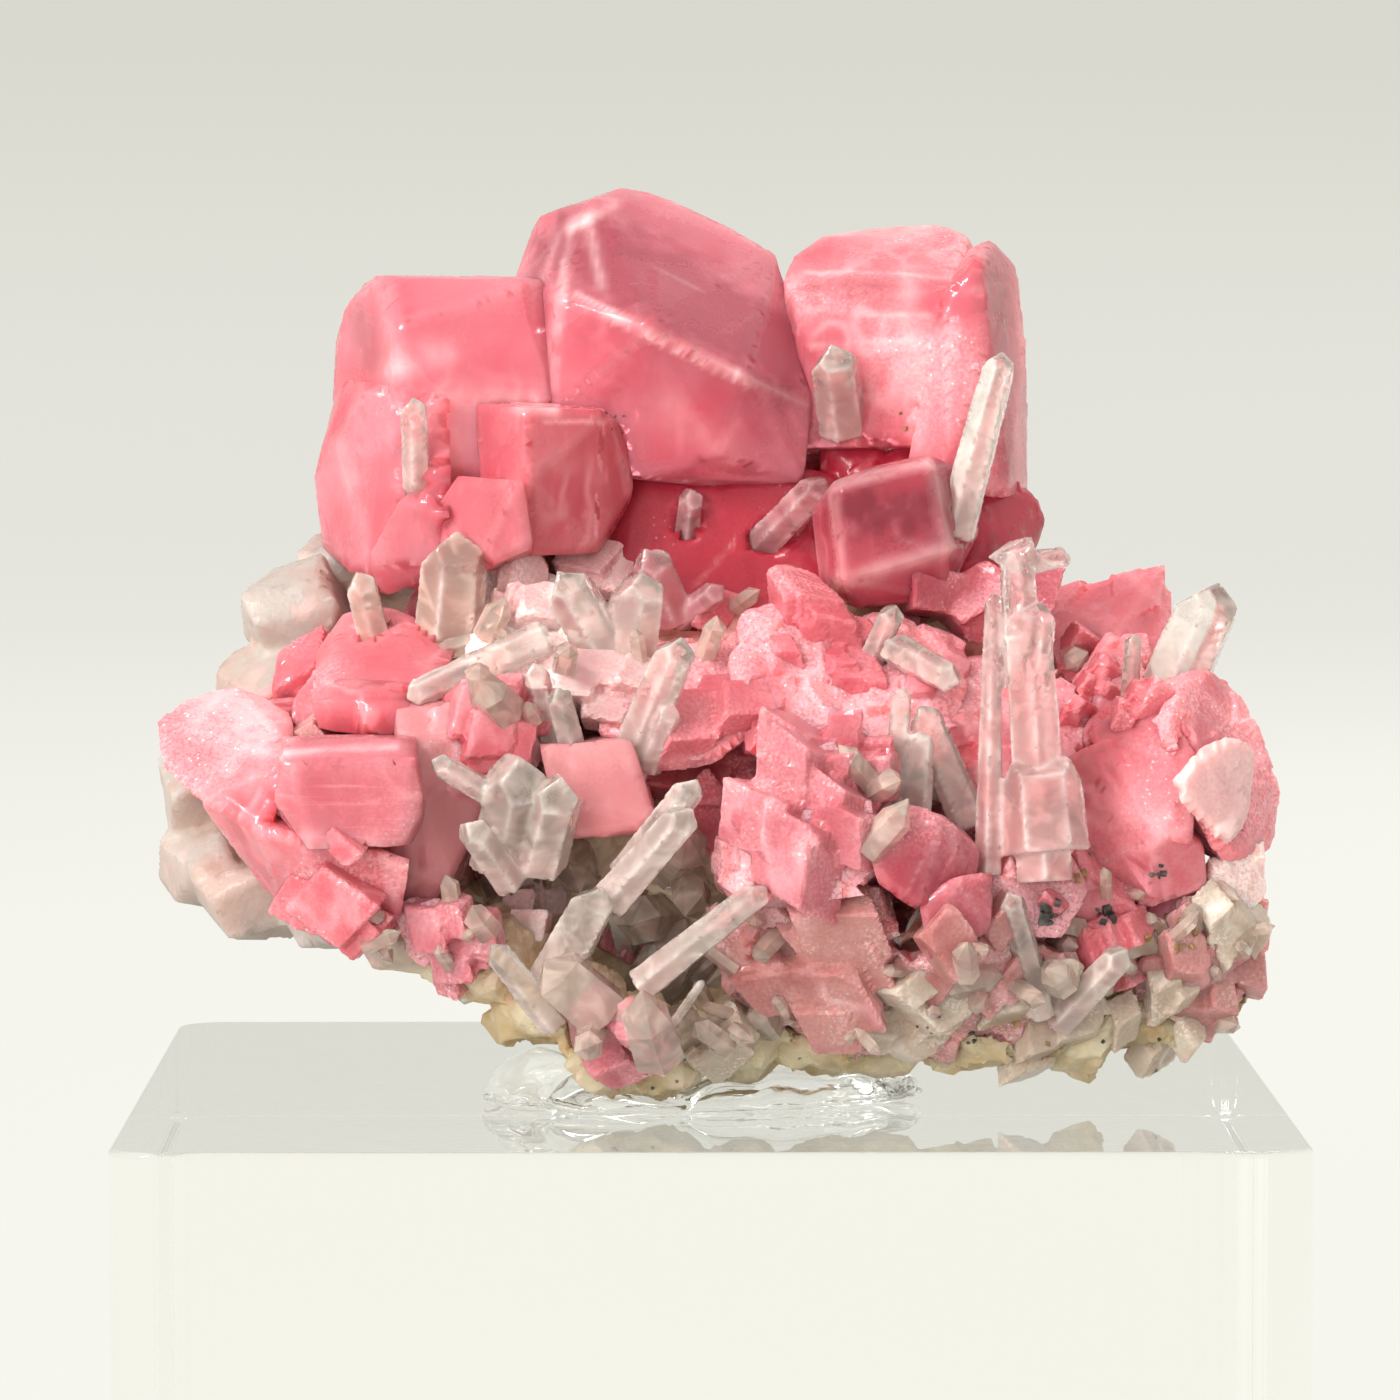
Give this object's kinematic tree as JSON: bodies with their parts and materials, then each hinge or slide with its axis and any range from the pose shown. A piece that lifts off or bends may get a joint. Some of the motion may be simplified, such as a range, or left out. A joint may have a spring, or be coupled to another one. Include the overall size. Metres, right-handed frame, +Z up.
{
  "type": "rhodochrosite specimen on a display block",
  "caption": "Cluster of pink rhodochrosite rhombs and clear quartz prisms on cream vein matrix, set with clear gel on a clear square display block.",
  "frame": {"origin": "middle of the display block's underside", "axes": "+Z up, -Y towards the specimen's show side, +X to the right seen from that side"},
  "size_m": [0.04, 0.04, 0.0651],
  "materials": {
    "acrylic": "clear polished acrylic",
    "gel": "clear soft mounting gel, wet-looking",
    "matrix": "sugary cream and beige vein quartz with brown iron stains and dark specks",
    "quartz": "clear to milky quartz, glassy faces",
    "smoky_quartz": "pale smoky quartz, glassy faces",
    "rhodochrosite": "gemmy rose-pink translucent crystal, pearly faces",
    "pale_rhodochrosite": "pale pink translucent crystal, frosted with fine quartz",
    "deep_rhodochrosite": "deep raspberry translucent crystal"
  },
  "bodies": {
    "root": {"acrylic_block": "acrylic", "gel": "gel", "matrix": "matrix", "quartz_pillar_twin": "quartz", "quartz_smoky_stub": "smoky_quartz", "quartz_left_finger": "quartz", "quartz_upper_left": "quartz", "quartz_slanted_bridge": "quartz", "quartz_clear_pair": "quartz", "quartz_small_pair": "quartz", "quartz_centre_left": "quartz", "quartz_recess_small": "quartz", "quartz_recess_slanted": "quartz", "quartz_recess_pebbles": "quartz", "quartz_saddle": "quartz", "quartz_upper_right": "quartz", "quartz_right_spire": "quartz", "quartz_right_needle": "quartz", "quartz_ridge_blade": "quartz", "quartz_leaning_blade": "quartz", "quartz_front_diagonals": "quartz", "quartz_white_rod": "quartz", "quartz_lower_finger": "quartz", "quartz_green_stub": "quartz", "quartz_left_spray": "quartz", "quartz_fine_needle": "quartz", "quartz_ridge_stub": "quartz", "quartz_ridge_knob": "quartz", "quartz_lower_right": "quartz", "right_tablet": "rhodochrosite", "small_rhomb": "rhodochrosite", "striated_rhomb": "rhodochrosite", "frosted_cluster": "rhodochrosite", "pillar_foot": "pale_rhodochrosite", "lower_pale_mass": "pale_rhodochrosite", "lower_right_mass": "pale_rhodochrosite", "dark_rhomb": "rhodochrosite", "salmon_rhomb": "rhodochrosite", "left_flank": "rhodochrosite", "left_inner": "rhodochrosite", "right_bright": "rhodochrosite", "right_crown": "rhodochrosite", "cavity_rhomb": "deep_rhodochrosite", "right_corner_low": "rhodochrosite", "right_corner_chip": "rhodochrosite", "bottom_pinks": "pale_rhodochrosite", "left_bottom_purple": "rhodochrosite", "left_plates": "rhodochrosite", "coated_cluster": "pale_rhodochrosite", "ridge_left": "rhodochrosite", "ridge_centre": "rhodochrosite", "ridge_right": "rhodochrosite", "window_rhomb": "deep_rhodochrosite", "back_right_blades": "rhodochrosite", "step_block": "rhodochrosite", "crown_centre": "rhodochrosite", "crown_left": "rhodochrosite", "crown_right": "rhodochrosite", "deep_wall": "deep_rhodochrosite"}
  },
  "joints": []
}
